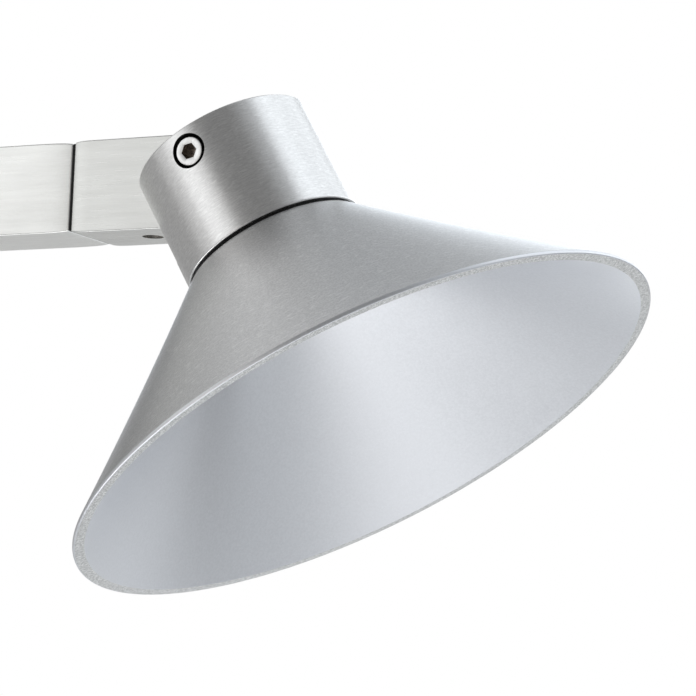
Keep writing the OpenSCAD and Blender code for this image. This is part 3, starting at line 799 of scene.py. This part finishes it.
# %% [markdown]
# ## The end block and the arm
# Both are bars with lightly broken edges. The block's end is round about the tilt axis so that it can swing
# in the slot. The arm is a tube, so its profile runs along the outside and back along the inside.

# %% End block
block_low, block_high = box("end_block")
nose_radius = 14.15 * mm
bar_edge = 0.3 * mm
grub_hole_depth = 8 * mm
spindle_hole, spindle_hole_depth = 4.02 * mm, 20.5 * mm
tilt_bush_hole = 4.22 * mm
disc_recess, disc_recess_depth = 5.62 * mm, 0.8 * mm
lead_channel, channel_start, channel_drop, channel_length = 2.2 * mm, 16.6 * mm, 8.2 * mm, 32 * mm


def block_outline():
    """Side view of the block: a rectangle whose far end is an arc about the tilt axis."""
    low, high = block_low[2], block_high[2]
    top_angle = math.asin((high - pivot[2]) / nose_radius)
    arc = np.linspace(-math.pi / 2, top_angle, 48)
    nose = np.column_stack([pivot[0] + nose_radius * np.cos(arc), pivot[2] + nose_radius * np.sin(arc)])
    steps = 4
    start = rounded([[block_low[0], high], [block_low[0], low], [block_low[0] + 9 * mm, low],
                     [block_low[0] + 9 * mm, high]], [bar_edge, bar_edge, 0, 0], steps)
    # The two round corners have steps + 1 points each, and the nose takes the place of the rest
    return np.concatenate([start[:2 * (steps + 1)], nose])


def crowned(piece, end_x, inward, depth, length):
    """Polishing takes more off a bar near its end. The bar is sliced across at a few places, and each point
    moves towards the bar's middle line by depth * exp(-distance from the end / length), in proportion to
    how far out it is."""
    work = bmesh.new()
    work.from_mesh(piece.data)
    for distance in length * np.array([0.25, 0.5, 0.8, 1.2, 1.7, 2.4, 3.4]):
        bmesh.ops.bisect_plane(work, geom=work.verts[:] + work.edges[:] + work.faces[:],
                               plane_co=(end_x + inward * distance, 0, 0), plane_no=(1, 0, 0), dist=1e-7)
    work.to_mesh(piece.data)
    work.free()
    points = np.empty(len(piece.data.vertices) * 3)
    piece.data.vertices.foreach_get("co", points)
    points = points.reshape(-1, 3)
    drop = depth * np.exp(-np.abs(points[:, 0] - end_x) / length)
    half = (arm_high[2] - arm_low[2]) / 2
    points[:, 1] *= 1 - drop / half
    points[:, 2] = arm_axis_z + (points[:, 2] - arm_axis_z) * (1 - drop / half)
    piece.data.vertices.foreach_set("co", points.ravel())
    piece.data.update()


def build_end_block():
    """The bar with round edges, drilled for grub screw, spindle, tilt bush, friction discs and leads."""
    points, faces = extruded(block_outline(), block_low[1], block_high[1], bar_edge, 4)
    piece = to_object("milled_end_block", points[:, [0, 2, 1]], faces)
    crowned(piece, block_low[0], 1, 0.35 * mm, 1.2 * mm)
    grub_low, grub_high = box("block_grub_screw")
    grub_centre = (grub_low + grub_high) / 2
    grub_radius = (grub_high[0] - grub_low[0]) / 2
    x, z = pivot[0], pivot[2]
    recess_length = disc_recess_depth + mm
    cutters = [
        rod_cutter([grub_centre[0], 0, block_low[2] - mm], (0, 0, 1), grub_radius + 0.02 * mm,
                   grub_hole_depth + mm),
        rod_cutter([block_low[0] - mm, 0, arm_axis_z], (1, 0, 0), spindle_hole, spindle_hole_depth + mm),
        rod_cutter([x, -12 * mm, z], (0, 1, 0), tilt_bush_hole, 24 * mm),
        rod_cutter([x, block_low[1] - mm, z], (0, 1, 0), disc_recess, recess_length),
        rod_cutter([x, block_high[1] - disc_recess_depth, z], (0, 1, 0), disc_recess, recess_length),
        rod_cutter([x - channel_start, 0, z - channel_drop], (1, 0, 0), lead_channel, channel_length)]
    cut(piece, *cutters)
    soften(piece, 0.12 * mm)
    finish_piece(piece, "block", "block_aluminium", "end_block", shaded_block_metal)


build_end_block()

# %% Arm tube and end cap
arm_wall = 1.8 * mm
plug_gap = 0.1 * mm
stem_foot_hole = 5.02 * mm


def bar_section(low, high, thinner=0.0):
    """The rounded section of a bar with the given box, made thinner in both directions."""
    return rounded(rectangle(high[1] - low[1] - thinner, high[2] - low[2] - thinner), bar_edge, 4)


def build_arm():
    """A square tube: its outline goes along the outside, over the end, back along the inside, and closes."""
    outer = bar_section(arm_low, arm_high)
    inner = bar_section(arm_low, arm_high, 2 * arm_wall)
    inset, depth = quarter_round(bar_edge, 4)
    sections = [shrunk(outer, i) for i in np.concatenate([inset, inset[::-1]])] + [inner, inner]
    places = np.concatenate([arm_low[0] + depth, arm_high[0] - depth[::-1], [arm_high[0], arm_low[0]]])
    loops = np.stack([np.column_stack([np.full(len(outer), x), section])
                      for x, section in zip(places, sections)])
    points = loops.reshape(-1, 3) + [0, 0, arm_axis_z]
    piece = to_object("arm_bar", points, grid_faces(len(places), len(outer), True, True).tolist())
    cut(piece, rod_cutter([0, 0, arm_high[2] - arm_wall - mm], (0, 0, 1), stem_foot_hole, 5 * mm))
    crowned(piece, arm_high[0], -1, 0.35 * mm, 2.5 * mm)
    finish_piece(piece, "arm", "arm_aluminium", "arm_tube", arm_metal)


def build_end_cap():
    """A plate that closes the tube's back end, with its plug inside."""
    low, high = box("arm_end_cap")
    plate_end = arm_low[0]
    plate = extruded(bar_section(low, high), low[0], plate_end - 0.02 * mm, 0.9 * bar_edge, 4)
    inner = bar_section(low, high, 2 * (arm_wall + plug_gap))
    plug = extruded(inner, plate_end - 0.5 * mm, high[0], 0.2 * mm, 3)
    made = [to_object("part", points[:, [2, 0, 1]] + [0, 0, arm_axis_z], faces)
            for points, faces in (plate, plug)]
    finish_piece(join("arm_back_cap", made), "arm", "arm_aluminium", "arm_end_cap", arm_metal)


build_arm()
build_end_cap()

# %% [markdown]
# ## Stem
# A turned tube with a shoulder that sits on the arm. It is a single closed profile, like the shade.

# %% Stem
def build_stem():
    """Upper spigot, visible stem and foot, bored through for the leads."""
    low, high = box("stem_tube")
    stem_bottom, stem_top = arm_high[2], box("base_cover")[0][2] - 0.3 * mm
    bore, spigot, radius, foot = 3.5 * mm, 6 * mm, 7 * mm, 5 * mm
    edge = 0.4 * mm
    profile = rounded([[bore, low[2]], [foot, low[2]], [foot, stem_bottom], [radius, stem_bottom],
                       [radius, stem_top], [spigot, stem_top], [spigot, high[2]], [bore, high[2]]],
                      [0, 0.2 * mm, 0, edge, edge, 0, 0.3 * mm, 0], 4)
    points, faces = turned(profile, 128)
    finish_piece(to_object("stem", points, faces), "arm", "stem_aluminium", "stem_tube", stem_metal)


build_stem()

# %% [markdown]
# ## Adapter cover
# A painted die-cast tray: a rounded outline carried down its side, round the lower edge and across the
# floor.

# %% Adapter cover
cover_corner = 5 * mm
cover_wall = 1.8 * mm
cover_floor = 2 * mm
bush_hole = 8.02 * mm
knob_holes = {"left_lock_turn": 6.05 * mm, "right_lock_turn": 6.05 * mm, "selector_turn": 4.55 * mm}
screw_x, screw_y = 58 * mm, 11 * mm
screw_head_hole, screw_head_depth, screw_hole = 2.7 * mm, 1.2 * mm, 1.42 * mm


def build_cover():
    """The underside's round edge, the side, a lip and the inner wall down to the floor, with holes cut."""
    low, high = box("base_cover")
    outline = rounded(rectangle(high[0] - low[0], high[1] - low[1]), cover_corner, 10)
    lip = 0.25 * mm
    inset, depth = quarter_round(1.2 * mm, 7)
    insets = np.concatenate([inset, [0, lip, cover_wall, cover_wall]])
    heights = np.concatenate([low[2] + depth, [high[2] - lip, high[2], high[2], low[2] + cover_floor]])
    piece = to_object("adapter_cover", *stacked(outline, insets, heights))
    below = low[2] - mm
    cutters = [rod_cutter([0, 0, below], (0, 0, 1), bush_hole, 4 * mm)]
    for joint, radius in knob_holes.items():
        x, y, _ = joints[joint]["pos_m"]
        cutters.append(rod_cutter([x, y, below], (0, 0, 1), radius, 4 * mm))
    for x in (-screw_x, screw_x):
        for y in (-screw_y, screw_y):
            cutters.append(rod_cutter([x, y, below], (0, 0, 1), screw_head_hole, screw_head_depth + mm, 48))
            cutters.append(rod_cutter([x, y, below], (0, 0, 1), screw_hole, 4 * mm, 48))
    cut(piece, *cutters)
    soften(piece, 0.15 * mm)
    finish_piece(piece, "adapter", "cover_silver", "base_cover", cover_paint)


build_cover()

# %% [markdown]
# ## The other pieces
# Small hardware, contacts, boards and the light source keep their CAD shapes, which are already right for
# stamped, drawn and moulded pieces, and take a finish each.

# %% Finishes of the CAD nodes
plain_finishes = {
    black_plastic: ["insert_body", "insert_lid", "lens_ring"],
    copper_metal: ["live_contacts", "neutral_contact", "earth_contacts", "selector_wiper"],
    ivory_plastic: ["contact_carrier"],
    board_green: ["driver_board"],
    potting_grey: ["driver_components", "heat_pad"],
    white_plastic: ["terminal_block", "swivel_bush", "friction_discs", "led_board", "led_holder"],
    plated_steel: ["base_screws", "swivel_stop_pin", "left_lock_cam", "right_lock_cam", "stem_stop_washer",
                   "stem_nut", "stem_arm_nut", "insert_stop_pins", "joint_spindle", "spindle_stop_washer",
                   "spindle_nut", "shade_screws"],
    grey_plastic: ["left_lock_knob", "right_lock_knob", "selector_dial"],
    # The front insert takes the end block's darker aluminium: painted shade.
    shaded_block_metal: ["arm_front_insert"],
    black_rubber: ["arm_joint_washer", "shade_gasket"],
    red_insulation: ["arm_leads", "head_leads"],
    black_steel_and_socket_shade: ["block_grub_screw"],
    bronze_metal: ["pivot_bush"],
    phosphor: ["led_emitter"],
    lens_glass: ["lens"]}
for material, names in plain_finishes.items():
    for name in names:
        mesh = nodes[name].data
        mesh.materials.clear()
        mesh.materials.append(material)
print(sum(map(len, plain_finishes.values())), "CAD nodes finished")

# %% [markdown]
# ## Studio
# The fixture hangs over a pale floor in a white room. Large soft panels light it, because brushed metal
# shows what stands round it more than it shows light.

# %% Floor and world
floor_drop = 0.60
floor_radius = 12.0
floor_glow = 0.62
ambient = 0.21


def build_floor():
    """A wide disc below the fixture. Its face is pale to the camera, which Light Path adds as a glow, but
    it throws little light on the fixture, and Backfacing makes it clear from below, so that it hides
    nothing."""
    turns = 96
    radius, angle = np.meshgrid([0, floor_radius], np.linspace(0, 2 * math.pi, turns, endpoint=False))
    lowest = cad_box[0][2] - floor_drop
    points = np.stack([radius * np.cos(angle), radius * np.sin(angle), radius * 0 + lowest], axis=-1)
    floor = to_object("floor", points.reshape(-1, 3), grid_faces(turns, 2, True, False).tolist())
    if floor.data.polygons[0].normal.z < 0:
        floor.data.flip_normals()
    material, tree, shader = new_material("pale floor", 0.0, 0.6, (0.82, 0.82, 0.82))
    path = add(tree, "ShaderNodeLightPath")
    glow = scaled(tree, path.outputs["Is Camera Ray"], floor_glow)
    shader.inputs["Emission Color"].default_value = (1, 1, 1, 1)
    tree.links.new(glow, shader.inputs["Emission Strength"])
    side = add(tree, "ShaderNodeNewGeometry")
    clear = add(tree, "ShaderNodeBsdfTransparent")
    mix = add(tree, "ShaderNodeMixShader", {0: side.outputs["Backfacing"]})
    tree.links.new(shader.outputs[0], mix.inputs[1])
    tree.links.new(clear.outputs[0], mix.inputs[2])
    tree.links.new(mix.outputs[0], tree.nodes["Material Output"].inputs["Surface"])
    floor.data.materials.append(material)


build_floor()


def build_room():
    """The backdrop is white, and the light that comes from beyond the panels is a faint grey: the Light
    Path node gives rays from the camera the first and all others the second."""
    world = bpy.data.worlds.new("white room")
    bpy.context.scene.world = world
    world.use_nodes = True
    tree = world.node_tree
    background = tree.nodes["Background"]
    path = add(tree, "ShaderNodeLightPath")
    level = remap(tree, path.outputs["Is Camera Ray"], 0.0, 1.0, ambient, 1.0)
    tree.links.new(level, background.inputs["Strength"])
    background.inputs["Color"].default_value = (1, 1, 1, 1)


build_room()
bpy.context.scene.view_settings.view_transform = "Standard"

# %% [markdown]
# ## Soft panels
# Each panel is a rectangular lamp that faces the head. Its place is given as a direction and its size as
# the angle that it fills, because that is what a reflection shows. The brightness is how white its own
# reflection would look. Gaps are left between the panels: their dark reflections are what shows that the
# housing is round.

# %% Lamps
# Panels well below the head stand nearer, so that they stay above the floor.
far_lamp, near_lamp, lowest_far_lamp = 1.2, 0.6, -15
lit_centre = pivot + np.array([0.02, 0, -0.03])
# name, azimuth, elevation, width and height in degrees, brightness, and how much bluer than white
panels = [
    ("key", -50, 9, 36, 42, 0.46, 0.00),
    ("key core", -36, 12, 30, 28, 0.62, 0.01),
    ("front", -10, -10, 30, 42, 0.45, -0.06),
    ("left low", -110, -10, 90, 42, 0.16, -0.01),
    ("left", -90, 40, 40, 36, 0.45, -0.03),
    ("back left top", -150, 50, 70, 42, 0.27, 0.05),
    ("back left", -156, 20, 36, 26, 1.55, 0.07),
    ("back left low", -146, -12, 40, 24, 0.20, 0.00),
    ("back right", 160, 20, 84, 23, 0.72, 0.03),
    ("right top", 75, 48, 44, 56, 0.20, 0.05),
    ("back right top", 128, 42, 66, 62, 0.84, 0.05),
    ("top", 0, 86, 24, 24, 0.50, 0.03),
    ("right low", 90, -10, 40, 30, 0.50, 0.05),
    ("low back", 172, -28, 64, 36, 0.60, 0.03),
    ("below left", -40, -60, 60, 24, 2.00, 0.00),
    ("below right", 60, -60, 50, 24, 0.77, 0.00)]


def soft_panel(name, azimuth, elevation, width, height, brightness, blue):
    """A rectangular lamp in a direction: azimuth turns from the front (-Y) towards +X, and elevation goes
    up. A side that fills an angle has length 2 * distance * tan(angle / 2), and the power for a brightness
    is pi * area * brightness."""
    distance = far_lamp if elevation > lowest_far_lamp else near_lamp
    turn, rise = math.radians(azimuth), math.radians(elevation)
    towards = Vector((math.sin(turn) * math.cos(rise), -math.cos(turn) * math.cos(rise), math.sin(rise)))
    data = bpy.data.lights.new(name, "AREA")
    data.shape = "RECTANGLE"
    data.size = 2 * distance * math.tan(math.radians(width) / 2)
    data.size_y = 2 * distance * math.tan(math.radians(height) / 2)
    data.energy = math.pi * data.size * data.size_y * brightness
    data.color = (1 - blue, 1, 1 + blue)
    lamp = bpy.data.objects.new(name, data)
    lamp.location = Vector(lit_centre) + towards * distance
    lamp.rotation_euler = (-towards).to_track_quat("-Z", "Y").to_euler()
    lamp.visible_camera = False
    bpy.context.scene.collection.objects.link(lamp)


for panel in panels:
    soft_panel(*panel)
print(len(panels), "soft panels")

# %% [markdown]
# ## Camera
# A long lens, level with the head and a little below it, to the right of the front.

# %% Camera
camera_offset = np.array([0.3586, -0.6373, -0.1388])
aim_offset = np.array([0.02928, 0.0, -0.03987])
camera_roll = math.radians(2.26)
camera_lens = 178.7


def build_camera():
    """Looks from the camera's place at the aim point, then rolls about its own axis."""
    data = bpy.data.cameras.new("camera")
    data.lens = camera_lens
    data.sensor_width = 36
    data.clip_start, data.clip_end = 0.01, 100
    camera = bpy.data.objects.new("camera", data)
    place = Vector(pivot + camera_offset)
    look = (Vector(pivot + aim_offset) - place).to_track_quat("-Z", "Y").to_matrix().to_4x4()
    camera.matrix_world = Matrix.Translation(place) @ look @ Matrix.Rotation(camera_roll, 4, "Z")
    bpy.context.scene.collection.objects.link(camera)
    bpy.context.scene.camera = camera
    print("camera at", np.round(place, 3))


build_camera()
